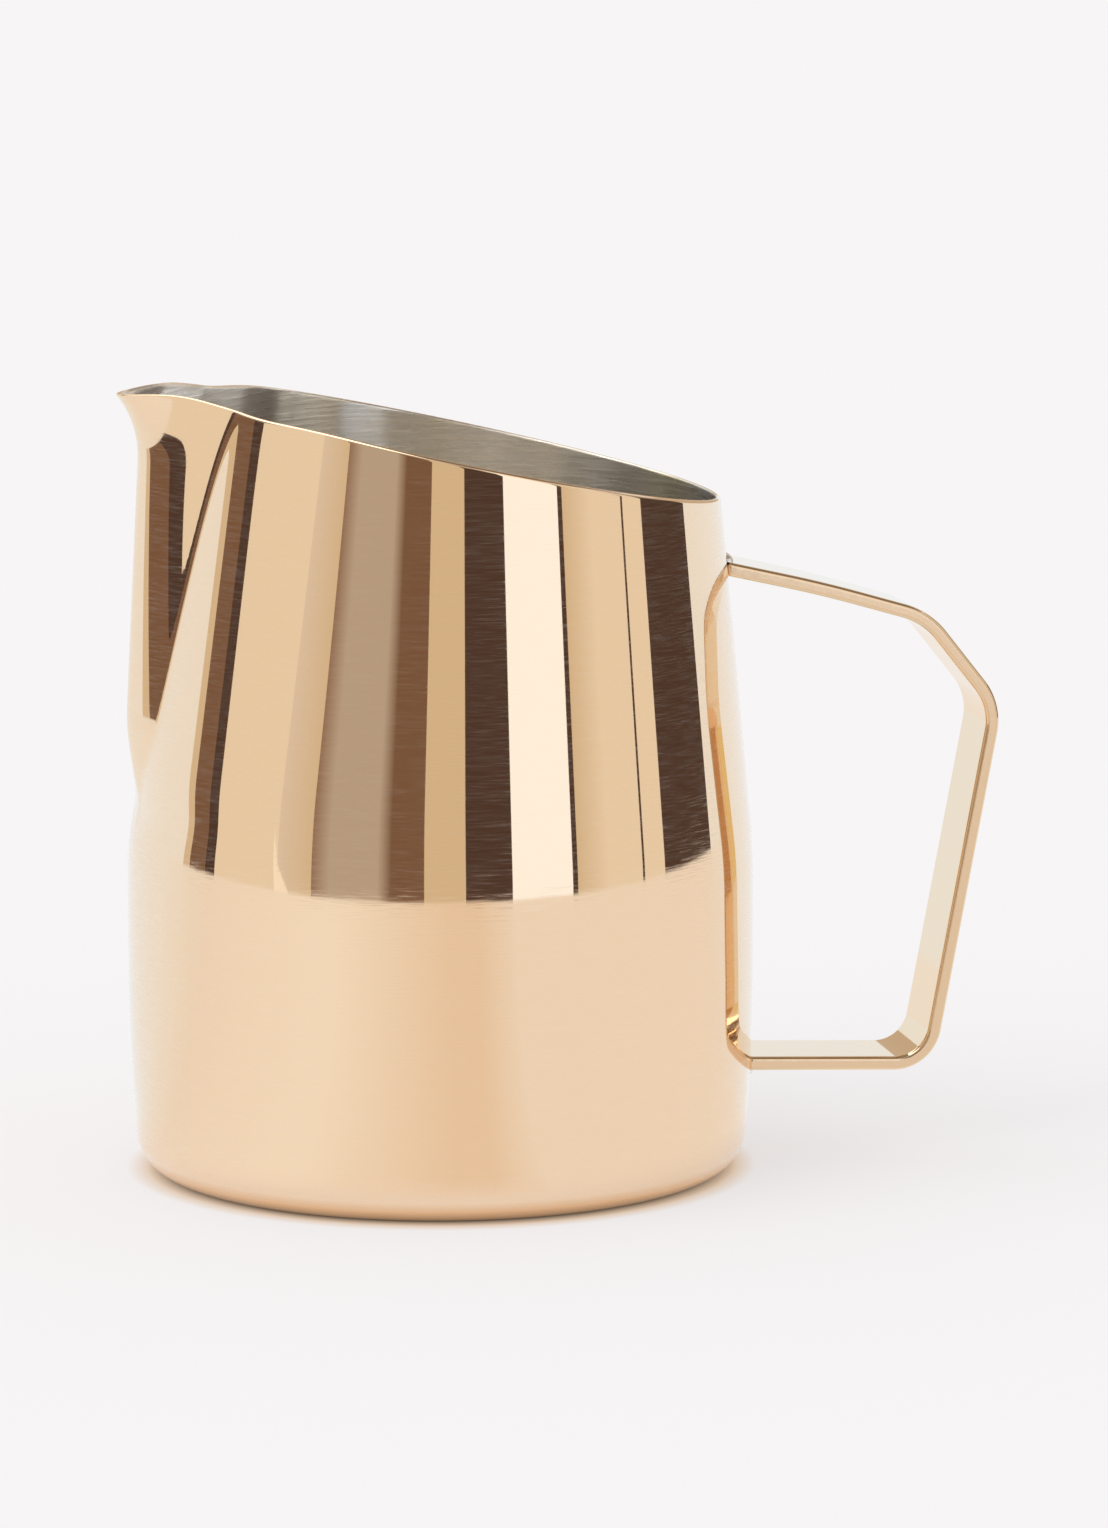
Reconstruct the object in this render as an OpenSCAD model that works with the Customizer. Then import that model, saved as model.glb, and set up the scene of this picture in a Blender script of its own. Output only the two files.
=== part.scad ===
// Milk frothing jug: a drawn steel body with a slanted rim and a pressed spout, and a bent strip
// handle welded to its wall. The origin is the centre of the base, on the axis of the round body.
// +Z is up, the handle points to +X and the spout to -X. All lengths are in millimetres.

/* [Body] */
// Outer diameter of the straight lower wall
body_d = 90; // [82:1:96]
// Thickness of the sheet
wall = 0.8; // [0.6:0.1:1.2]
// Radius of the corner between the wall and the base
corner_r = 5.5; // [4:0.5:8]
// Height below which the wall draws in towards the base
toe_z = 30; // [26:1:34]
// How steeply the wall draws in just above the corner, in degrees
toe_lean = 4.8; // [3:0.2:6]
// Height at which the wall starts to lean in towards the rim
crease_z = 46; // [43:1:48]
// Lean of the upper wall, in degrees
wall_lean = 5.3; // [4:0.1:6.5]

/* [Rim] */
// Height of the slanted rim on the body's axis
rim_z = 105.6; // [100:0.2:110]
// Slant of the rim, in degrees, high at the spout and low at the handle
rim_slant = 12.2; // [8:0.2:14]
// How far the rim drops beside the spout, where the mouth is drawn in
rim_drop = 1; // [0:0.1:2]

/* [Spout] */
// Height of the foot of the spout
foot_z = 60.2; // [58:0.2:63]
// How far the spout's ridge stands out just above its foot
foot_step = 2; // [1:0.05:2.5]
// How much further the ridge stands out for each millimetre of height
ridge_growth = 0.04; // [0.02:0.002:0.06]
// Fall of the spout's flank beside the ridge at the foot, in millimetres for each degree round the body
flank_foot = 0.325; // [0.28:0.005:0.4]
// Fall of the spout's flank beside the ridge at the rim, in millimetres for each degree round the body
flank_rim = 0.465; // [0.4:0.005:0.5]
// How far the wall is drawn in round the spout, at the rim
draw_in = 2.75; // [1.5:0.05:3.5]
// Depth of the shallow dent below the foot of the spout
foot_dent = 0.52; // [0:0.02:0.8]
// Height at which the pouring lip starts to curl out
lip_z = 103.4; // [102:0.2:106]
// Radius of the curl of the pouring lip
lip_r = 14.3; // [12:0.1:18]

/* [Handle] */
// Width of the handle strip
strip_w = 13.6; // [11:0.1:16]
// Thickness of the handle strip
strip_t = 2; // [1.6:0.1:2.4]
// Height at which the top bar's centre line meets the wall
top_bar_z = 86.3; // [84:0.1:88]
// Height at which the bottom bar's centre line meets the wall
bottom_bar_z = 14.1; // [13:0.1:17]
// Distance from the axis to the sharp corner between the top bar and the slope
knee_x = 70.2; // [66:0.2:72]
// Distance from the axis to the sharp corner between the slope and the grip
elbow_x = 80.6; // [78:0.2:84]
// Distance from the axis to the sharp corner between the grip and the bottom bar
heel_x = 70.8; // [68:0.2:73]

/* [Welds] */
// Radius of the weld bead above the top bar
top_bead_r = 0.9; // [0.6:0.1:1.2]
// Length of the weld bead above the top bar, across the strip
top_bead_w = 11.5; // [8:0.5:12]
// Radius of the weld bead below the bottom bar
bottom_bead_r = 0.8; // [0.6:0.1:1.2]
// Length of the weld bead below the bottom bar, across the strip
bottom_bead_w = 9.5; // [8:0.5:12]

/* [Hidden] */
$fn = 96;

rose_gold = [0.87, 0.66, 0.48];
body_r = body_d / 2;

// The wall's outline: sizes of its arcs and how finely they are drawn
crease_half = 4.7;
corner_steps = 7;
toe_steps = 3;
crease_steps = 3;

// The spout half of the body: columns round the body and rows up the wall
flank_end = 36;
fine_step = 3;
coarse_step = 6;
spout_rows = 17;

// The spout's shape. Angles are in degrees round the body from the spout's ridge.
lip_level = 113;
foot_half = 7.8;
nose_foot = 2.35;
nose_rim = 3.15;
hollow_foot = 37.1;
hollow_rim = 14.2;
valley_foot = 0.36;
valley_rim = 0.5;
draw_z = 51.6;
draw_blend = 10;
draw_angle = 11.3;
draw_spread = 61.8;
drop_power = 8;
drop_angle = 35.3;
drop_spread = 18.5;
fade_angle = 52.4;
dent_z = 54;
dent_height = 3.5;
dent_spread = 20;
lip_spread = 8.5;

// The handle's centre line, in the XZ plane
bar_bow_x = 54.6;
bar_bow_z = 83.2;
bow_r = 200;
knee_z = 78.6;
knee_r = 11.2;
elbow_z = 65.4;
elbow_r = 8.4;
heel_z = 13.1;
heel_r = 5.9;
bend_steps = 12;
run_in = 5;

// How far a bead's middle stands off the strip's face
bead_lift = 0.15;

// --- Helpers ---

function smooth_step(t) = let (u = min(max(t, 0), 1)) u * u * (3 - 2 * u);
function bell(x, centre, spread) = exp(-pow((x - centre) / spread, 2));
function soft_max(a, b, k) = let (d = max(k - abs(a - b), 0)) max(a, b) + d * d / (4 * k);
function arc(centre, r, from, to, steps) =
    [for (i = [0 : steps]) let (a = from + (to - from) * i / steps) centre + r * [cos(a), sin(a)]];

// --- The wall's outline, as [radius, height] from the base upwards ---

toe_r = (toe_z - corner_r * (1 - sin(toe_lean))) / sin(toe_lean);
base_r = body_r - toe_r * (1 - cos(toe_lean)) - corner_r * cos(toe_lean);
crease_r = crease_half / tan(wall_lean / 2);
crease_top = crease_z + crease_half * cos(wall_lean);

corner_arc = arc([base_r, corner_r], corner_r, -90, -toe_lean, corner_steps);
toe_arc = arc([body_r - toe_r, toe_z], toe_r, -toe_lean, 0, toe_steps);
crease_arc = arc([body_r - crease_r, crease_z - crease_half], crease_r, 0, wall_lean, crease_steps);

// Radius of the leaning upper wall at a height, before the spout is pressed
function wall_r(z) = body_r - crease_r * (1 - cos(wall_lean)) - (z - crease_top) * tan(wall_lean);

// Radius of the wall where it draws in towards the base
function toe_wall_r(z) = body_r - toe_r * (1 - cos(asin((toe_z - z) / toe_r)));

lower_outline = concat(corner_arc, [for (i = [1 : toe_steps]) toe_arc[i]], crease_arc);

// Height at which the slanted rim plane crosses the upper wall, at an angle from the spout
function rim_height(angle, inset) =
    let (k = tan(rim_slant) * cos(angle))
    (rim_z + k * (wall_r(0) - inset)) / (1 + k * tan(wall_lean));

// --- The pressed spout, for a point of the upper wall at height z ---

function rise(z) = min(max((z - foot_z) / (lip_level - foot_z), 0), 1);
function mix(at_foot, at_rim, z) = at_foot + (at_rim - at_foot) * rise(z);
function ridge(z) =
    foot_step * smooth_step((z - foot_z + foot_half) / (2 * foot_half))
    + ridge_growth * max(z - foot_z, 0);

// The flank falls away from a rounded nose and hollows out: the smaller hollow is, the sooner it levels off
function flank(angle, z) =
    let (
        nose = mix(nose_foot, nose_rim, z),
        hollow = mix(hollow_foot, hollow_rim, z),
        away = sqrt(angle * angle + nose * nose) - nose
    )
    ridge(z) - mix(flank_foot, flank_rim, z) * hollow * ln(1 + away / hollow);
function fade(angle) = smooth_step((90 - abs(angle)) / fade_angle);

// The wall is drawn in from draw_z up: it bends over the first draw_blend, and runs straight above that
function drawn_in(angle, z) =
    let (
        above = max(z - draw_z, 0),
        bent = min(above, draw_blend),
        share = (above - bent + bent * bent / (2 * draw_blend)) / (lip_level - draw_z - draw_blend / 2)
    )
    -draw_in * share * bell(abs(angle), draw_angle, draw_spread) * fade(angle);
function dent(angle, z) = foot_dent * bell(z, dent_z, dent_height) * bell(angle, 0, dent_spread);

function curl(z) = max(z - lip_z, 0) / lip_r * 180 / PI;
function spout_r(angle, z) =
    soft_max(flank(angle, z), drawn_in(angle, z), mix(valley_foot, valley_rim, z))
    - dent(angle, z)
    + bell(angle, 0, lip_spread) * lip_r * (1 - cos(curl(z)));
function beside_drop(angle, z) =
    rim_drop * pow(rise(z), drop_power) * bell(abs(angle), drop_angle, drop_spread) * fade(angle);
function spout_drop(angle, z) =
    let (lip = bell(angle, 0, lip_spread))
    lip * (max(z - lip_z, 0) - lip_r * sin(curl(z)))
    + (1 - lip) * beside_drop(angle, z);

// --- One column of the wall: the outline and the rows above it, moved in by inset ---

function lower_row(angle, inset, p) = p - [inset + dent(angle, p[1]), 0];
function lower_rows(angle, inset) =
    let (
        corner = arc([base_r, corner_r], corner_r - inset, -90, -toe_lean, corner_steps),
        last = len(lower_outline) - 1
    )
    concat(corner, [for (i = [corner_steps + 1 : last]) lower_row(angle, inset, lower_outline[i])]);

function upper_row(angle, inset, row) =
    let (
        start = lower_outline[len(lower_outline) - 1][1],
        z = start + (rim_height(angle, inset) - start) * row / spout_rows
    )
    [wall_r(z) - inset + spout_r(angle, z), z - spout_drop(angle, z)];

function column(angle, inset) =
    concat(lower_rows(angle, inset), [for (row = [1 : spout_rows]) upper_row(angle, inset, row)]);

// --- The spout half of the body, as one closed mesh ---

columns = concat(
    [for (a = [-90 : coarse_step : -flank_end - coarse_step]) a],
    [for (a = [-flank_end : fine_step : flank_end]) a],
    [for (a = [flank_end + coarse_step : coarse_step : 90]) a]
);
column_len = len(lower_outline) + spout_rows;
column_count = len(columns);
grid_len = column_len * column_count;

function place(angle, p) = [-p[0] * cos(angle), -p[0] * sin(angle), p[1]];
function grid(inset) = [for (angle = columns) for (p = column(angle, inset)) place(angle, p)];

// Numbers of the points: the outer grid, the inner grid, and the two centres of the floor
function outer(i, k) = i * column_len + k;
function inner(i, k) = grid_len + i * column_len + k;
outer_centre = 2 * grid_len;
inner_centre = 2 * grid_len + 1;

function quad(a, b, c, d) = [[a, b, c], [a, c, d]];

module spout_half() {
    last = column_count - 1;
    top = column_len - 1;
    points = concat(grid(0), grid(wall), [[0, 0, 0], [0, 0, wall]]);
    skins = [
        for (i = [0 : last - 1]) for (k = [0 : top - 1]) each concat(
            quad(outer(i, k), outer(i, k + 1), outer(i + 1, k + 1), outer(i + 1, k)),
            quad(inner(i, k), inner(i + 1, k), inner(i + 1, k + 1), inner(i, k + 1))
        )
    ];
    floors = [
        for (i = [0 : last - 1]) each [
            [outer_centre, outer(i, 0), outer(i + 1, 0)],
            [inner_centre, inner(i + 1, 0), inner(i, 0)]
        ]
    ];
    rim = [
        for (i = [0 : last - 1])
            each quad(outer(i, top), inner(i, top), inner(i + 1, top), outer(i + 1, top))
    ];
    ends = [
        for (k = [0 : top - 1]) each concat(
            quad(outer(0, k), inner(0, k), inner(0, k + 1), outer(0, k + 1)),
            quad(outer(last, k), outer(last, k + 1), inner(last, k + 1), inner(last, k))
        )
    ];
    end_floors = concat(
        quad(outer_centre, inner_centre, inner(0, 0), outer(0, 0)),
        quad(outer_centre, outer(last, 0), inner(last, 0), inner_centre)
    );
    polyhedron(points = points, faces = concat(skins, floors, rim, ends, end_floors));
}

// --- The handle half of the body, a plain revolved shell cut by the slanted rim ---

module above_rim() {
    size = 4 * body_r;
    translate([0, 0, rim_z])
        rotate([0, rim_slant, 0])
        translate([0, -size / 2, 0])
        cube(size);
}

module handle_half() {
    outline = concat([[0, wall], [0, 0]], column(90, 0), reversed(column(90, wall)));
    difference() {
        rotate([0, 0, -90])
            rotate_extrude(angle = 180)
            polygon(outline);
        above_rim();
    }
}

function reversed(list) = [for (i = [len(list) - 1 : -1 : 0]) list[i]];

// The full round body without its spout, which the handle and the welds are fitted to
module round_body() {
    rotate_extrude()
        polygon(concat([[0, 0]], column(90, 0), [[0, rim_z]]));
}

// --- The handle: a strip whose centre line is straight bars joined by rounded bends ---

// A bend is a list of [point, normal] pairs along an arc tangent to both bars at corner b
function unit(v) = v / norm(v);
function bend(a, b, c, r) =
    let (
        back = unit(a - b),
        ahead = unit(c - b),
        half = acos(back * ahead) / 2,
        centre = b + unit(back + ahead) * r / sin(half),
        first = b + back * r / tan(half) - centre,
        turn = -(180 - 2 * half)
    )
    [
        for (i = [0 : bend_steps])
            let (
                t = turn * i / bend_steps,
                n = unit([first[0] * cos(t) - first[1] * sin(t), first[0] * sin(t) + first[1] * cos(t)])
            )
            [centre + r * n, n]
    ];

// The strip is drawn from inside the wall, in line with the bar, and the wall is cut away from it
top_end = [wall_r(top_bar_z), top_bar_z];
bottom_end = [toe_wall_r(bottom_bar_z), bottom_bar_z];
function run_inside(end, next) = end + unit(end - next) * run_in;

corners = [
    run_inside(top_end, [bar_bow_x, bar_bow_z]),
    [bar_bow_x, bar_bow_z],
    [knee_x, knee_z],
    [elbow_x, elbow_z],
    [heel_x, heel_z],
    run_inside(bottom_end, [heel_x, heel_z])
];
radii = [bow_r, knee_r, elbow_r, heel_r];

function left_of(a, b) = let (d = unit(b - a)) [-d[1], d[0]];
strip_line = concat(
    [[corners[0], left_of(corners[0], corners[1])]],
    [for (i = [0 : 3]) each bend(corners[i], corners[i + 1], corners[i + 2], radii[i])],
    [[corners[5], left_of(corners[4], corners[5])]]
);

module strip() {
    outside = [for (s = strip_line) s[0] + s[1] * strip_t / 2];
    inside = [for (s = strip_line) s[0] - s[1] * strip_t / 2];
    translate([0, strip_w / 2, 0])
        rotate([90, 0, 0])
        linear_extrude(strip_w)
        polygon(concat(outside, reversed(inside)));
}

// --- Weld beads: a round fillet that follows the wall along one face of the strip ---

module bead(r, z, bead_r, bead_w) {
    spread = asin(bead_w / 2 / r);
    rotate([0, 0, -spread])
        rotate_extrude(angle = 2 * spread)
        translate([r, z])
        circle(bead_r, $fn = 32);
    for (side = [-1, 1])
        rotate([0, 0, side * spread])
        translate([r, 0, z])
        sphere(bead_r, $fn = 32);
}

// --- The sub-parts ---

module jug_body() {
    color(rose_gold)
        union() {
            handle_half();
            spout_half();
        }
}

module handle() {
    color(rose_gold)
        difference() {
            strip();
            round_body();
        }
}

module upper_weld() {
    color(rose_gold)
        difference() {
            bead(top_end[0], top_bar_z + strip_t / 2 + bead_lift, top_bead_r, top_bead_w);
            round_body();
            strip();
        }
}

module lower_weld() {
    color(rose_gold)
        difference() {
            bead(bottom_end[0], bottom_bar_z - strip_t / 2 - bead_lift, bottom_bead_r, bottom_bead_w);
            round_body();
            strip();
        }
}

jug_body();
handle();
upper_weld();
lower_weld();
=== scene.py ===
"""Looks of the milk frothing jug: polished rose gold outside, brushed steel inside, and its strip handle."""

import math

import bpy
import numpy as np
from mathutils import Euler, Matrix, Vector


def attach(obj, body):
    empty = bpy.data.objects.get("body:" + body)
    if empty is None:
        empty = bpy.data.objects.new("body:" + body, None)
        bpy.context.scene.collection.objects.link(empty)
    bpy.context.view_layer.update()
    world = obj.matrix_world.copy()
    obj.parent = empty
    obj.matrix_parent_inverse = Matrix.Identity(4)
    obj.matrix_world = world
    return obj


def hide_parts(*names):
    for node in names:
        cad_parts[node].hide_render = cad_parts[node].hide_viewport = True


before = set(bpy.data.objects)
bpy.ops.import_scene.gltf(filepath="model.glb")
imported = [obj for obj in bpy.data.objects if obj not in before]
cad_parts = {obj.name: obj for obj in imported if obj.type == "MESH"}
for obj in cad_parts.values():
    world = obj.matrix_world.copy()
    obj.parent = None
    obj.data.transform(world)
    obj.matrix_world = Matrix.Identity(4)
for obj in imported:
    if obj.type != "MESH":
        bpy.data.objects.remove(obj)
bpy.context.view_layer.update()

MM = 0.001

# --- The body's sizes, in millimetres and degrees, as the CAD has them ---

BODY_R = 45.0
WALL = 0.8
CORNER_R = 5.5
TOE_Z = 30.0
TOE_LEAN = 4.8
CREASE_Z = 46.0
CREASE_HALF = 4.7
WALL_LEAN = 5.3
RIM_Z = 105.6
RIM_SLANT = 12.2
RIM_DROP = 1.0

FOOT_Z = 60.2
FOOT_HALF = 7.8
FOOT_STEP = 2.0
RIDGE_GROWTH = 0.04
FLANK_FOOT = 0.325
FLANK_RIM = 0.465
NOSE_FOOT = 2.35
NOSE_RIM = 3.15
HOLLOW_FOOT = 37.1
HOLLOW_RIM = 14.2
VALLEY_FOOT = 0.36
VALLEY_RIM = 0.5
DRAW_IN = 2.75
DRAW_Z = 51.6
DRAW_BLEND = 10.0
DRAW_ANGLE = 11.3
DRAW_SPREAD = 61.8
DROP_POWER = 8.0
DROP_ANGLE = 35.3
DROP_SPREAD = 18.5
FADE_ANGLE = 52.4
FOOT_DENT = 0.52
DENT_Z = 54.0
DENT_HEIGHT = 3.5
DENT_SPREAD = 20.0
LIP_LEVEL = 113.0
LIP_Z = 103.4
LIP_R = 14.3
LIP_SPREAD = 8.5

# --- The handle's centre line in the XZ plane: sharp corners, and the radius of the bend at each ---

STRIP_W = 13.6
STRIP_T = 2.0
TOP_BAR_Z = 86.3
BOTTOM_BAR_Z = 14.1
HANDLE_CORNERS = ((54.6, 83.2), (70.2, 78.6), (80.6, 65.4), (70.8, 13.1))
HANDLE_RADII = (200.0, 11.2, 8.4, 5.9)
STRIP_EDGE_R = 0.6
# Only this much of the strip's rounded edges has the satin finish of its narrow faces, and their darker colour,
# which is painted shade
EDGE_FINISH_AND_SHADE = 0.1
END_SIDE_R = 0.5
TOP_CORNERS_R = (0.7, 0.1)
BOTTOM_CORNERS_R = (0.45, 0.25)

# --- How finely the pieces are drawn ---

CORNER_STEPS = 14
TOE_STEPS = 14
CREASE_STEPS = 18
UPPER_STEPS = 100
EDGE_STEPS = 8
FLOOR_RINGS = 6
BEND_STEPS = 24
STRIP_EDGE_STEPS = 6
# Distances from the wall of the rings that shape the strip's ends
END_STEPS = (-0.3, 0, 0.02, 0.06, 0.12, 0.2, 0.3, 0.42, 0.56, 0.7, 0.75, 1.2)
# Rows this close to a rounded edge or a bend keep the flat faces flat
EDGE_HOLD = 0.03
BAR_HOLD = 0.2


# --- The body's shape. Angles are in degrees round the body from the spout's ridge, and may be arrays. ---


def sin(degrees):
    return np.sin(np.radians(degrees))


def cos(degrees):
    return np.cos(np.radians(degrees))


def tan(degrees):
    return np.tan(np.radians(degrees))


def smooth_step(t):
    u = np.clip(t, 0, 1)
    return u * u * (3 - 2 * u)


def bell(x, centre, spread):
    return np.exp(-(((x - centre) / spread) ** 2))


def soft_max(a, b, blend):
    overlap = np.maximum(blend - np.abs(a - b), 0)
    return np.maximum(a, b) + overlap**2 / (4 * blend)


def arc(centre, radius, start, end, steps):
    turn = np.linspace(start, end, steps + 1)
    return np.column_stack([centre[0] + radius * cos(turn), centre[1] + radius * sin(turn)])


TOE_R = (TOE_Z - CORNER_R * (1 - sin(TOE_LEAN))) / sin(TOE_LEAN)
BASE_R = BODY_R - TOE_R * (1 - cos(TOE_LEAN)) - CORNER_R * cos(TOE_LEAN)
CREASE_R = CREASE_HALF / tan(WALL_LEAN / 2)
CREASE_TOP = CREASE_Z + CREASE_HALF * cos(WALL_LEAN)


def wall_r(z):
    return BODY_R - CREASE_R * (1 - cos(WALL_LEAN)) - (z - CREASE_TOP) * tan(WALL_LEAN)


def toe_wall_r(z):
    return BODY_R - TOE_R + np.sqrt(TOE_R**2 - (TOE_Z - z) ** 2)


TOP_END = np.array([wall_r(TOP_BAR_Z), TOP_BAR_Z])
BOTTOM_END = np.array([toe_wall_r(BOTTOM_BAR_Z), BOTTOM_BAR_Z])


def rim_height(angle, inset):
    k = tan(RIM_SLANT) * cos(angle)
    return (RIM_Z + k * (wall_r(0) - inset)) / (1 + k * tan(WALL_LEAN))


def rise(z):
    return np.clip((z - FOOT_Z) / (LIP_LEVEL - FOOT_Z), 0, 1)


def mix(at_foot, at_rim, z):
    return at_foot + (at_rim - at_foot) * rise(z)


def fade(angle):
    return smooth_step((90 - np.abs(angle)) / FADE_ANGLE)


def flank(angle, z):
    ridge = FOOT_STEP * smooth_step((z - FOOT_Z + FOOT_HALF) / (2 * FOOT_HALF))
    ridge = ridge + RIDGE_GROWTH * np.maximum(z - FOOT_Z, 0)
    nose = mix(NOSE_FOOT, NOSE_RIM, z)
    hollow = mix(HOLLOW_FOOT, HOLLOW_RIM, z)
    away = np.sqrt(angle**2 + nose**2) - nose
    return ridge - mix(FLANK_FOOT, FLANK_RIM, z) * hollow * np.log(1 + away / hollow)


def drawn_in(angle, z):
    above = np.maximum(z - DRAW_Z, 0)
    bent = np.minimum(above, DRAW_BLEND)
    share = (above - bent + bent**2 / (2 * DRAW_BLEND)) / (LIP_LEVEL - DRAW_Z - DRAW_BLEND / 2)
    return -DRAW_IN * share * bell(np.abs(angle), DRAW_ANGLE, DRAW_SPREAD) * fade(angle)


def dent(angle, z):
    return FOOT_DENT * bell(z, DENT_Z, DENT_HEIGHT) * bell(angle, 0, DENT_SPREAD)


def spout_r(angle, z):
    pressed = soft_max(flank(angle, z), drawn_in(angle, z), mix(VALLEY_FOOT, VALLEY_RIM, z))
    curl = np.maximum(z - LIP_Z, 0) / LIP_R
    return pressed - dent(angle, z) + bell(angle, 0, LIP_SPREAD) * LIP_R * (1 - np.cos(curl))


def spout_drop(angle, z):
    lip = bell(angle, 0, LIP_SPREAD)
    curl = np.maximum(z - LIP_Z, 0) / LIP_R
    beside = RIM_DROP * rise(z) ** DROP_POWER * bell(np.abs(angle), DROP_ANGLE, DROP_SPREAD) * fade(angle)
    return lip * (np.maximum(z - LIP_Z, 0) - LIP_R * np.sin(curl)) + (1 - lip) * beside


def lower_outline(inset):
    """The wall from the base up to the top of the crease, as [radius, height]."""
    corner = arc((BASE_R, CORNER_R), CORNER_R - inset, -90, -TOE_LEAN, CORNER_STEPS)
    toe = arc((BODY_R - TOE_R, TOE_Z), TOE_R - inset, -TOE_LEAN, 0, TOE_STEPS)
    crease = arc((BODY_R - CREASE_R, CREASE_Z - CREASE_HALF), CREASE_R - inset, 0, WALL_LEAN, CREASE_STEPS)
    return np.vstack([corner, toe[1:], crease])


def skin(angles, inset):
    """One skin of the wall, from the base up to the rim, as an array of points [column, row]."""
    lower = lower_outline(inset)
    bottom = lower[-1, 1]
    fraction = np.arange(1, UPPER_STEPS + 1) / UPPER_STEPS
    angle = angles[:, None]
    z = bottom + (rim_height(angle, inset) - bottom) * fraction
    lower_height = np.tile(lower[:, 1], (len(angles), 1))
    radius = np.hstack([lower[:, 0] - dent(angle, lower_height), wall_r(z) - inset + spout_r(angle, z)])
    height = np.hstack([lower_height, z - spout_drop(angle, z)])
    return np.stack([-radius * cos(angle), -radius * sin(angle), height], axis=-1)


def rounded_rim(outer, inner):
    """Rows over the rim, from the outer skin round to the inner one, as a half circle along the wall."""
    up = outer[:, -1] - outer[:, -2]
    up /= np.linalg.norm(up, axis=-1, keepdims=True)
    outer[:, -1] -= up * WALL / 2
    inner[:, -1] -= up * WALL / 2
    centre = (outer[:, -1] + inner[:, -1]) / 2
    side = outer[:, -1] - centre
    turn = np.linspace(0, 180, EDGE_STEPS + 1)[1:-1]
    return np.stack([centre + side * cos(t) + up * sin(t) * WALL / 2 for t in turn], axis=1)


def column_angles():
    """Angles of the body's columns, closer together round the spout."""
    near = np.arange(0, 45, 0.75)
    middle = np.arange(45, 100, 1.25)
    far = np.arange(100, 180, 2.5)
    half = np.concatenate([near, middle, far])
    return np.concatenate([half, [180], -half[:0:-1]])


def grid_faces(columns, rows):
    """Quads over a grid of points that closes on itself round the columns."""
    i, k = np.meshgrid(np.arange(columns), np.arange(rows - 1), indexing="ij")
    after = (i + 1) % columns
    quads = np.stack([i * rows + k, i * rows + k + 1, after * rows + k + 1, after * rows + k], axis=-1)
    return quads.reshape(-1, 4)


def new_piece(name, points, faces, materials, indices=None):
    mesh = bpy.data.meshes.new(name)
    mesh.from_pydata((np.asarray(points) * MM).tolist(), [], [list(map(int, f)) for f in faces])
    for material in materials:
        mesh.materials.append(material)
    if indices is not None:
        mesh.polygons.foreach_set("material_index", indices)
    mesh.polygons.foreach_set("use_smooth", [True] * len(mesh.polygons))
    mesh.validate()
    mesh.update()
    piece = bpy.data.objects.new(name, mesh)
    bpy.context.scene.collection.objects.link(piece)
    return piece


def make_body(outside, inside):
    """The jug's body: one closed sheet of steel, coated outside and bare inside."""
    angles = column_angles()
    outer = skin(angles, 0)
    inner = skin(angles, WALL)
    edge = rounded_rim(outer, inner)
    ring_share = np.arange(1, FLOOR_RINGS + 1) / (FLOOR_RINGS + 1)
    under = outer[:, :1] * ring_share[:, None] * (1, 1, 0)
    floor = inner[:, :1] * ring_share[::-1, None] * (1, 1, 0) + (0, 0, WALL)
    grid = np.concatenate([under, outer, edge, inner[:, ::-1], floor], axis=1)
    columns, rows = grid.shape[:2]
    faces = grid_faces(columns, rows)
    row = np.tile(np.arange(rows - 1), columns)
    coated = row < under.shape[1] + outer.shape[1] + EDGE_STEPS // 2
    centre = columns * rows
    bottom_fan = [(centre, i * rows, ((i + 1) % columns) * rows) for i in range(columns)]
    top_fan = [(centre + 1, ((i + 1) % columns) * rows + rows - 1, i * rows + rows - 1) for i in range(columns)]
    points = np.vstack([grid.reshape(-1, 3), [(0, 0, 0), (0, 0, WALL)]])
    slots = np.concatenate([np.where(coated, 0, 1), [0] * columns, [1] * columns])
    return new_piece("body_shell", points, [*faces.tolist(), *bottom_fan, *top_fan], [outside, inside], slots)


# --- The handle and its welds ---


def unit(v):
    return v / np.linalg.norm(v)


def bend(before, corner, after, radius):
    """Points and outward normals of the round bend at a corner, in the XZ plane."""
    back = unit(before - corner)
    ahead = unit(after - corner)
    half = np.arccos(back @ ahead) / 2
    centre = corner + unit(back + ahead) * radius / np.sin(half)
    first = unit(corner + back * radius / np.tan(half) - centre)
    turn = -(np.pi - 2 * half) * np.arange(BEND_STEPS + 1) / BEND_STEPS
    normal = np.column_stack(
        [first[0] * np.cos(turn) - first[1] * np.sin(turn), first[0] * np.sin(turn) + first[1] * np.cos(turn)]
    )
    return centre + radius * normal, normal


def straight_steps(start, end):
    """Two points that hold a straight bar's faces flat, just inside its ends."""
    along = unit(end - start)
    return [start + along * BAR_HOLD, end - along * BAR_HOLD]


def strip_line():
    """The strip's centre line between its two joints: points, and normals that point out of the loop."""
    corners = [TOP_END, *map(np.array, HANDLE_CORNERS), BOTTOM_END]
    points = []
    normals = []
    for i, radius in enumerate(HANDLE_RADII):
        p, n = bend(corners[i], corners[i + 1], corners[i + 2], radius)
        if points:
            points += straight_steps(points[-1], p[0])
            normals += [normals[-1], n[0]]
        points += list(p)
        normals += list(n)
    return points, normals


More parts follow.
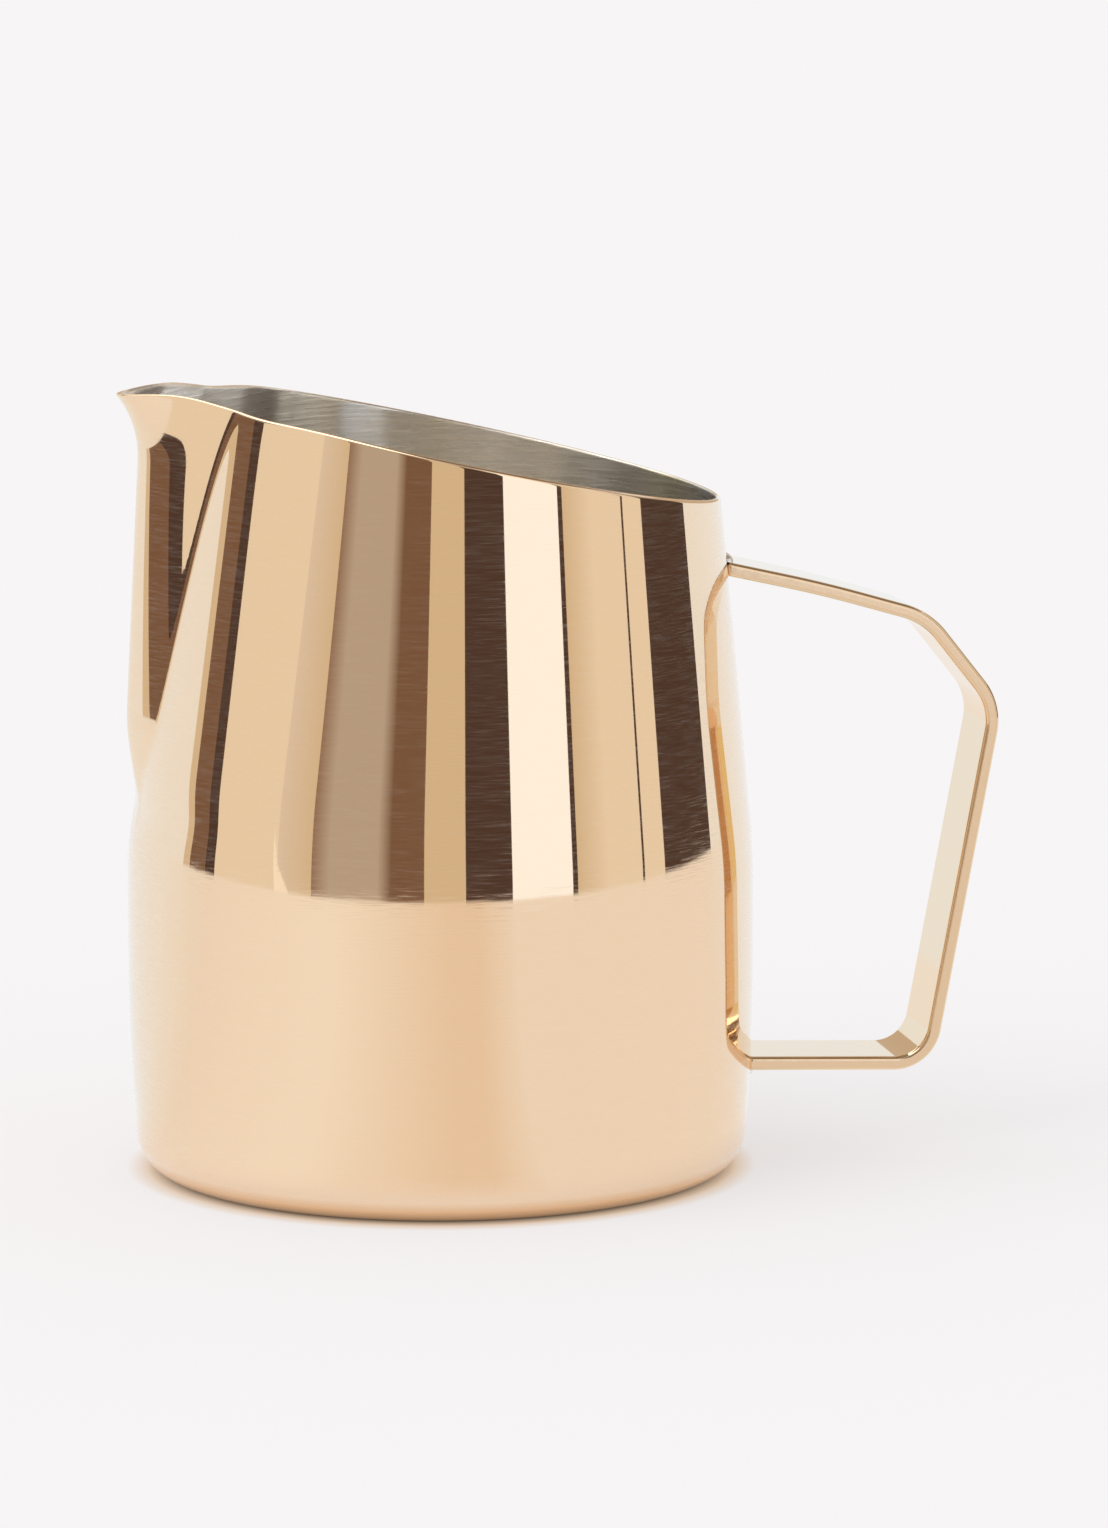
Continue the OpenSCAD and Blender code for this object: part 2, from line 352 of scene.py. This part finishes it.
def strip_section(narrow, lower_top, raise_bottom):
    """The strip's cross-section as [across, out], a rectangle with rounded edges, made smaller by the cuts."""
    side = STRIP_W / 2 - narrow - STRIP_EDGE_R
    top = STRIP_T / 2 - lower_top - STRIP_EDGE_R
    bottom = -STRIP_T / 2 + raise_bottom + STRIP_EDGE_R
    rounded = []
    for x, y, start in ((side, top, 0), (-side, top, 90), (-side, bottom, 180), (side, bottom, 270)):
        edge = arc((x, y), STRIP_EDGE_R, start, start + 90, STRIP_EDGE_STEPS)
        first = np.array([sin(start), -cos(start)])
        last = np.array([-cos(start), -sin(start)])
        rounded += [edge[0] + first * EDGE_HOLD, *edge, edge[-1] + last * EDGE_HOLD]
    return np.array(rounded)


def wall_run(section, normal, end, along, wall_at):
    """How far along a bar each point of a section has to move to meet the round wall."""
    base = end + section[:, 1:] * normal
    run = np.zeros(len(section))
    for _ in range(6):
        height = base[:, 1] + run * along[1]
        reach = np.sqrt(wall_at(height) ** 2 - section[:, 0] ** 2)
        run = (reach - base[:, 0]) / along[0]
    return run


def round_off(away, radius):
    """How deep a rounded corner cuts at a distance from the end."""
    left = max(1 - away / radius, 0)
    return radius * (1 - math.sqrt(1 - left * left))


def end_rings(end, next_point, normal, wall_at, top_r, bottom_r):
    """Rings of the strip from inside the wall outwards. Its end follows the wall and has rounded corners."""
    along = unit(next_point - end)
    rings = []
    for away in END_STEPS:
        out = max(away, 0)
        section = strip_section(round_off(out, END_SIDE_R), round_off(out, top_r), round_off(out, bottom_r))
        run = wall_run(section, normal, end, along, wall_at) + away
        centre = end + section[:, 1:] * normal + run[:, None] * along
        rings.append(np.column_stack([centre[:, 0], section[:, 0], centre[:, 1]]))
    return rings


def make_handle(faces_material, shaded_edges_material):
    """The handle: a flat strip swept along its centre line, its ends shaped to the wall."""
    points, normals = strip_line()
    section = strip_section(0, 0, 0)
    rings = end_rings(TOP_END, points[0], normals[0], wall_r, *TOP_CORNERS_R)
    for p, n in zip(points, normals):
        offset = section[:, 1:] * n
        rings.append(np.column_stack([p[0] + offset[:, 0], section[:, 0], p[1] + offset[:, 1]]))
    rings += reversed(end_rings(BOTTOM_END, points[-1], normals[-1], toe_wall_r, *BOTTOM_CORNERS_R))
    count = len(rings)
    size = len(section)
    faces = []
    for i in range(count - 1):
        for k in range(size):
            after = (k + 1) % size
            faces.append((i * size + k, i * size + after, (i + 1) * size + after, (i + 1) * size + k))
    faces.append(tuple(range(size - 1, -1, -1)))
    faces.append(tuple((count - 1) * size + k for k in range(size)))
    # Faces out on the edges take the satin finish and the darker rose gold of painted shade
    across = np.abs(section[:, 0] + np.roll(section[:, 0], -1)) / 2
    on_edge = across > STRIP_W / 2 - EDGE_FINISH_AND_SHADE
    slots = np.concatenate([np.tile(np.where(on_edge, 1, 0), count - 1), [0, 0]])
    return new_piece("handle_strip", np.vstack(rings), faces, [faces_material, shaded_edges_material], slots)


# --- Materials ---


def new_material(name):
    material = bpy.data.materials.new(name)
    material.use_nodes = True
    nodes = material.node_tree.nodes
    return material, nodes, material.node_tree.links, nodes["Principled BSDF"]


def streaks(nodes, links, scale, detail):
    """Noise drawn out level round the object, as fine polishing lines: scale is [across, up]."""
    place = nodes.new("ShaderNodeTexCoord")
    mapping = nodes.new("ShaderNodeMapping")
    mapping.inputs["Scale"].default_value = (scale[0], scale[0], scale[1])
    noise = nodes.new("ShaderNodeTexNoise")
    noise.inputs["Scale"].default_value = 1
    noise.inputs["Detail"].default_value = detail
    links.new(place.outputs["Object"], mapping.inputs["Vector"])
    links.new(mapping.outputs["Vector"], noise.inputs["Vector"])
    return noise.outputs["Fac"]


def remap(nodes, links, value, low, high, to_low, to_high):
    """The value moved evenly from one range to another, and held at its ends."""
    node = nodes.new("ShaderNodeMapRange")
    node.inputs["From Min"].default_value = low
    node.inputs["From Max"].default_value = high
    node.inputs["To Min"].default_value = to_low
    node.inputs["To Max"].default_value = to_high
    links.new(value, node.inputs["Value"])
    return node.outputs["Result"]


def blend_colours(nodes, links, share, first, second):
    """A colour that runs from the first to the second as share goes from 0 to 1."""
    node = nodes.new("ShaderNodeMix")
    node.data_type = "RGBA"
    # The node repeats its socket names for each type of value, so its colour sockets are picked by type
    first_colour, second_colour = (socket for socket in node.inputs if socket.type == "RGBA")
    blended = next(socket for socket in node.outputs if socket.type == "RGBA")
    first_colour.default_value = (*first, 1)
    second_colour.default_value = (*second, 1)
    links.new(share, node.inputs["Factor"])
    return blended


def brushed_round(nodes, links, shader):
    """Makes a shader's gloss spread up and down, across lines that run level round the jug."""
    shader.inputs["Anisotropic"].default_value = 1
    shader.inputs["Anisotropic Rotation"].default_value = 0.25
    tangent = nodes.new("ShaderNodeTangent")
    tangent.direction_type = "RADIAL"
    tangent.axis = "Z"
    links.new(tangent.outputs["Tangent"], shader.inputs["Tangent"])


def bump(nodes, links, height, strength, distance, shader):
    node = nodes.new("ShaderNodeBump")
    node.inputs["Strength"].default_value = strength
    node.inputs["Distance"].default_value = distance
    links.new(height, node.inputs["Height"])
    links.new(node.outputs["Normal"], shader.inputs["Normal"])


def polished_material():
    """Rose gold coated steel, polished, with faint level polishing lines."""
    material, nodes, links, shader = new_material("polished_rose_gold")
    shader.inputs["Metallic"].default_value = 1
    shader.inputs["Base Color"].default_value = (0.93, 0.71, 0.50, 1)
    brushed_round(nodes, links, shader)
    lines = streaks(nodes, links, (260, 5200), 3)
    roughness = remap(nodes, links, lines, 0.5, 0.8, 0.025, 0.11)
    links.new(roughness, shader.inputs["Roughness"])
    bump(nodes, links, lines, 0.03, 0.00002, shader)
    # A rough clear coat along the lines gives them a faint haze, seen where the wall mirrors something dark
    links.new(remap(nodes, links, lines, 0.42, 0.72, 0, 1), shader.inputs["Coat Weight"])
    shader.inputs["Coat Roughness"].default_value = 0.35
    shader.inputs["Coat IOR"].default_value = 1.6
    return material


def steel_material():
    """Bare steel inside, brushed level round the jug."""
    material, nodes, links, shader = new_material("brushed_steel")
    shader.inputs["Metallic"].default_value = 1
    brushed_round(nodes, links, shader)
    lines = streaks(nodes, links, (90, 1900), 3)
    share = remap(nodes, links, lines, 0.35, 0.65, 0, 1)
    colour = blend_colours(nodes, links, share, (0.84, 0.80, 0.74), (1.0, 0.97, 0.91))
    links.new(colour, shader.inputs["Base Color"])
    roughness = remap(nodes, links, lines, 0.3, 0.7, 0.34, 0.22)
    links.new(roughness, shader.inputs["Roughness"])
    bump(nodes, links, lines, 0.8, 0.0001, shader)
    return material


def strip_material(name, colour, rough, grain_depth):
    """Rose gold coated strip with a fine grain, between two roughnesses."""
    material, nodes, links, shader = new_material(name)
    shader.inputs["Metallic"].default_value = 1
    shader.inputs["Base Color"].default_value = (*colour, 1)
    grain = streaks(nodes, links, (900, 900), 4)
    roughness = remap(nodes, links, grain, 0.3, 0.7, *rough)
    links.new(roughness, shader.inputs["Roughness"])
    bump(nodes, links, grain, grain_depth, 0.00005, shader)
    return material


def bead_material():
    """Bare weld metal, bright and slightly rough."""
    material, nodes, links, shader = new_material("weld_metal")
    shader.inputs["Metallic"].default_value = 1
    shader.inputs["Base Color"].default_value = (0.94, 0.93, 0.91, 1)
    grain = streaks(nodes, links, (1500, 1500), 3)
    roughness = remap(nodes, links, grain, 0.3, 0.7, 0.35, 0.5)
    links.new(roughness, shader.inputs["Roughness"])
    bump(nodes, links, grain, 0.3, 0.00005, shader)
    return material


# --- The studio ---

VIEW_YAW = -11.36
VIEW_PITCH = 9.06
CAMERA_PLACE = (-0.2021, -1.0900, 0.2352)
CAMERA_ROLL = 0.07
CAMERA_LENS = 184.2

FLOOR_R = 6000
FLOOR_STEPS = 96
# Painted contact shadow: the floor's glow fails between these distances from the jug's axis, down to this share
# of itself
PAINTED_SHADOW_FADE = (39, 42.5)
PAINTED_SHADOW_SHARE = 0.08
# Painted warm light from the jug: the glow's colour is warm at the first of these distances and plain at the
# second
PAINTED_WARMTH_FADE = (42, 45.5)
PAINTED_WARM_LIGHT = (0.50, 0.36, 0.24)


def make_camera():
    data = bpy.data.cameras.new("camera")
    data.lens = CAMERA_LENS
    data.sensor_width = 36
    data.clip_end = 50
    camera = bpy.data.objects.new("camera", data)
    camera.location = CAMERA_PLACE
    camera.rotation_euler = Euler([math.radians(turn) for turn in (90 - VIEW_PITCH, CAMERA_ROLL, VIEW_YAW)])
    bpy.context.scene.collection.objects.link(camera)
    bpy.context.scene.camera = camera


def make_world(light):
    world = bpy.data.worlds.new("studio")
    world.use_nodes = True
    world.node_tree.nodes["Background"].inputs["Color"].default_value = (*light, 1)
    bpy.context.scene.world = world


def make_floor(colour, glow):
    """The table: pale paper whose own glow keeps the jug's shadow light, but fails close under the jug as a
    painted contact shadow, with painted warm light from the jug round it.
    """
    turns = [math.tau * i / FLOOR_STEPS for i in range(FLOOR_STEPS)]
    ring = [(FLOOR_R * math.cos(turn), FLOOR_R * math.sin(turn), 0) for turn in turns]
    material, nodes, links, shader = new_material("paper_floor")
    shader.inputs["Base Color"].default_value = (*colour, 1)
    shader.inputs["Roughness"].default_value = 0.9
    shader.inputs["Specular IOR Level"].default_value = 0.0
    place = nodes.new("ShaderNodeTexCoord")
    away = nodes.new("ShaderNodeVectorMath")
    away.operation = "LENGTH"
    links.new(place.outputs["Object"], away.inputs[0])
    distance = away.outputs["Value"]
    # Painted contact shadow: the glow fades out close under the jug
    start, end = PAINTED_SHADOW_FADE
    strength = remap(nodes, links, distance, start * MM, end * MM, PAINTED_SHADOW_SHARE, 1)
    links.new(strength, shader.inputs["Emission Strength"])
    # Painted warm light from the jug: the glow turns warm brown round its base
    start, end = PAINTED_WARMTH_FADE
    plain_share = remap(nodes, links, distance, start * MM, end * MM, 0, 1)
    links.new(blend_colours(nodes, links, plain_share, PAINTED_WARM_LIGHT, glow), shader.inputs["Emission Color"])
    floor = new_piece("floor", ring, [tuple(range(FLOOR_STEPS))], [material])


# The colours of the studio's boards, as plain light
DAYLIGHT = (0.9, 0.95, 1.0)
WINDOW = (1.1, 1.2, 1.35)
CREAM = (0.85, 0.8, 0.7)
ROSE = (0.75, 0.7, 0.65)
TAN = (0.7, 0.6, 0.45)
TAUPE = (0.5, 0.45, 0.4)
UMBER = (0.3, 0.2, 0.15)
BROWN = (0.2, 0.12, 0.08)
DARK = (0.08, 0.05, 0.04)
PAPER = (0.9, 0.88, 0.86)
WHITE_PAPER = (0.95, 0.95, 0.93)
# Paper in painted shade, browned by painted warm light from the jug
PAINTED_SHADE_PAPER = (0.85, 0.75, 0.65)

# What the polished wall mirrors: boards that stand round the jug, and the table. Each has the azimuth where it
# starts, as seen from the wall (0 is towards the camera, 90 to its right), and its colours there and at its
# other end, where the next board starts.
SCREEN_BOARDS = (
    (-180, DAYLIGHT, DAYLIGHT),
    (-108, TAN, TAN),
    (-104, BROWN, BROWN),
    (-95, DARK, DARK),
    (-90, CREAM, CREAM),
    (-61, ROSE, TAN),
    (-47, UMBER, TAUPE),
    (-40, TAUPE, TAUPE),
    (-22, TAUPE, BROWN),
    (-17, BROWN, BROWN),
    (-5, TAN, TAN),
    (10, DARK, DARK),
    (27, WINDOW, WINDOW),
    (50, DARK, DARK),
    (52, TAN, CREAM),
    (65, CREAM, CREAM),
    (80, DARK, DARK),
    (81, CREAM, CREAM),
    (91, DARK, DARK),
    (119, DAYLIGHT, DAYLIGHT),
)
# The table's light carries painted shade: a brown cast in front, for shade on the camera's side and warm light
# from the jug
TABLE_BOARDS = (
    (-180, DAYLIGHT, DAYLIGHT),
    (-130, DAYLIGHT, PAPER),
    (-100, PAPER, WHITE_PAPER),
    (-50, WHITE_PAPER, WHITE_PAPER),
    (-40, WHITE_PAPER, PAINTED_SHADE_PAPER),
    (5, PAINTED_SHADE_PAPER, PAINTED_SHADE_PAPER),
    (15, PAINTED_SHADE_PAPER, PAPER),
    (30, PAPER, PAPER),
    (120, PAPER, DAYLIGHT),
    (150, DAYLIGHT, DAYLIGHT),
)
# The coloured screens reach up to the middle height, and plainer ones go on up to the top
SCREEN_R = 620
SCREEN_MIDDLE = 260
SCREEN_TOP = 600
# The screens are drawn in steps of this many degrees
SCREEN_STEP = 2
# The plainer screens are at least this bright, and their green and blue stay under these shares of their red
PLAIN_LEAST = (0.42, 0.39, 0.35)
PLAIN_GREEN = 0.97
PLAIN_BLUE = 0.91

# The table's light fades in between these distances from the jug's axis, and lies this far above the table
TABLE_FADE = (46, 62)
TABLE_LIFT = 0.3
# How far from the axis the table is where the brushed lower wall mirrors it
TABLE_HIT_R = 170

# Two warm boards just inside the screens, which the strip's inner face shows to the wall
WARM_R = SCREEN_R - 20
WARM_HEIGHTS = (130, 450)
GOLD = (0.86, 0.80, 0.50)
GOLD_ENDS = (-138, -110)
COPPER = (0.60, 0.48, 0.36)
COPPER_ENDS = (120, 200)

# A narrow bright wedge that stands on the table to the left, as [azimuth, height]
WEDGE_R = SCREEN_R - 10
WEDGE = ((-63, 60), (-62, 0), (-56, 0))
WEDGE_LIGHT = (1.0, 0.98, 0.92)

# The ceiling: a dim half to the right, which draws the dark lines along the strip's edges, and a bright half to
# the left, which lights the bare steel
CEILING_Z = 1000
CEILING_ENDS = (-1000, 1000)
CEILING_SPLIT = -150
CEILING_DEPTH = (-900, 1500)
DIM_CEILING = (0.25, 0.19, 0.14)
BRIGHT_CEILING = (2.2, 2.1, 1.95)


def seen_place(azimuth, distance):
    """Where the light that the wall mirrors at an azimuth stands, as an angle round the jug's axis."""
    shift = math.degrees(math.asin(BODY_R / distance * math.sin(math.radians(azimuth / 2))))
    return azimuth - shift + VIEW_YAW - 90


def board_rows(boards):
    """Rows of an azimuth and the light there, for boards that each reach to where the next one starts."""
    rows = []
    ends = [start for start, _, _ in boards[1:]] + [180]
    for (start, first, last), end in zip(boards, ends):
        rows += [(start, first), (end, last)]
    return rows


def plain_rows(rows):
    """The same rows for the part of the screens that only the bare steel mirrors: never blue and never dark."""
    plain = []
    for azimuth, colour in rows:
        red, green, blue = np.maximum(colour, PLAIN_LEAST)
        plain.append((azimuth, (red, min(green, red * PLAIN_GREEN), min(blue, red * PLAIN_BLUE))))
    return plain


def light_material():
    """Plain light, as bright as each face's own colour, and clear where that colour's alpha is 0."""
    material = bpy.data.materials.new("screen_light")
    material.use_nodes = True
    nodes = material.node_tree.nodes
    links = material.node_tree.links
    nodes.clear()
    colour = nodes.new("ShaderNodeAttribute")
    colour.attribute_name = "light"
    glow = nodes.new("ShaderNodeEmission")
    clear = nodes.new("ShaderNodeBsdfTransparent")
    blend = nodes.new("ShaderNodeMixShader")
    output = nodes.new("ShaderNodeOutputMaterial")
    links.new(colour.outputs["Color"], glow.inputs["Color"])
    links.new(colour.outputs["Alpha"], blend.inputs["Fac"])
    links.new(clear.outputs["BSDF"], blend.inputs[1])
    links.new(glow.outputs["Emission"], blend.inputs[2])
    links.new(blend.outputs["Shader"], output.inputs["Surface"])
    return material


def stage_light(name, points, faces, colours, material):
    """Makes a surface of light that only mirrors can see. Each corner has its own colour and alpha."""
    board = new_piece(name, points, faces, [material])
    layer = board.data.color_attributes.new(name="light", type="FLOAT_COLOR", domain="CORNER")
    layer.data.foreach_set("color", np.array(colours, dtype=np.float32).ravel())
    board.visible_camera = False
    board.visible_diffuse = False
    board.visible_shadow = False
    board.visible_transmission = False


def make_screen(name, rows, rings, hit_distance, material):
    """A band of light round the jug, through rings that each have a radius, a height and an alpha."""
    points = []
    faces = []
    colours = []
    for (start, colour), (end, next_colour) in zip(rows, rows[1:]):
        steps = max(1, round((end - start) / SCREEN_STEP)) if end > start else 0
        share = np.linspace(0, 1, steps + 1)
        for a, b in zip(share, share[1:]):
            for ring, next_ring in zip(rings, rings[1:]):
                for t, (radius, height, alpha) in ((a, ring), (b, ring), (b, next_ring), (a, next_ring)):
                    angle = seen_place(start + (end - start) * t, hit_distance)
                    points.append((radius * cos(angle), radius * sin(angle), height))
                    colours.append((*(np.array(colour) * (1 - t) + np.array(next_colour) * t), alpha))
                faces.append(range(len(points) - 4, len(points)))
    stage_light(name, points, faces, colours, material)


def make_board(name, points, colour, material):
    """A flat board of plain light."""
    stage_light(name, points, [tuple(range(len(points)))], [(*colour, 1)] * len(points), material)


def make_screens(material):
    """What stands and lies round the jug: the screens, the table's light, and two warm boards."""
    rows = board_rows(SCREEN_BOARDS)
    make_screen("screen", rows, [(SCREEN_R, 0, 1), (SCREEN_R, SCREEN_MIDDLE, 1)], SCREEN_R, material)
    upper_rings = [(SCREEN_R, SCREEN_MIDDLE, 1), (SCREEN_R, SCREEN_TOP, 1)]
    make_screen("upper_screen", plain_rows(rows), upper_rings, SCREEN_R, material)
    table_rings = [(TABLE_FADE[0], TABLE_LIFT, 0), (TABLE_FADE[1], TABLE_LIFT, 1), (SCREEN_R, TABLE_LIFT, 1)]
    make_screen("table_light", board_rows(TABLE_BOARDS), table_rings, TABLE_HIT_R, material)
    warm_rings = [(WARM_R, height, 1) for height in WARM_HEIGHTS]
    for name, colour, ends in (("gold_board", GOLD, GOLD_ENDS), ("brown_board", COPPER, COPPER_ENDS)):
        make_screen(name, [(end, colour) for end in ends], warm_rings, WARM_R, material)


def make_wedge(material):
    """The bright wedge, which the wall mirrors beside the spout."""
    points = []
    for azimuth, height in WEDGE:
        angle = seen_place(azimuth, WEDGE_R)
        points.append((WEDGE_R * cos(angle), WEDGE_R * sin(angle), height))
    make_board("wedge_board", points, WEDGE_LIGHT, material)


def make_ceiling(material):
    """The ceiling's dim and bright halves."""
    left, right = CEILING_ENDS
    front, back = CEILING_DEPTH
    for name, start, end, colour in (
        ("dim_ceiling", CEILING_SPLIT, right, DIM_CEILING),
        ("bright_ceiling", left, CEILING_SPLIT, BRIGHT_CEILING),
    ):
        corners = ((start, front), (end, front), (end, back), (start, back))
        make_board(name, [(x, y, CEILING_Z) for x, y in corners], colour, material)


def make_key_light():
    """A wide soft light from the left, which gives the jug its faint shadow."""
    data = bpy.data.lights.new("key_light", "SUN")
    data.energy = 0.8
    data.angle = math.radians(50)
    light = bpy.data.objects.new("key_light", data)
    light.rotation_euler = Vector((1, 0.35, -0.9)).to_track_quat("-Z", "Y").to_euler()
    light.visible_glossy = False
    bpy.context.scene.collection.objects.link(light)


# --- The whole ---

bpy.context.scene.view_settings.view_transform = "Standard"
make_camera()
make_world((1.0, 0.99, 0.99))
make_floor((0.30, 0.295, 0.298), (0.581, 0.572, 0.578))
make_key_light()
screen_light = light_material()
make_screens(screen_light)
make_ceiling(screen_light)
make_wedge(screen_light)

body = make_body(polished_material(), steel_material())
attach(body, "root")
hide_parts("jug_body")

faces_material = strip_material("strip_faces", (0.90, 0.72, 0.50), (0.03, 0.06), 0.02)
# The edges' darker rose gold is painted shade; their rougher grain is the satin finish
shaded_edges_material = strip_material("strip_edges_painted_shade", (0.81, 0.59, 0.39), (0.12, 0.2), 0.12)
handle = make_handle(faces_material, shaded_edges_material)
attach(handle, "root")
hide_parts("handle")

bead = bead_material()
for node in ("upper_weld", "lower_weld"):
    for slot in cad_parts[node].material_slots:
        slot.material = bead
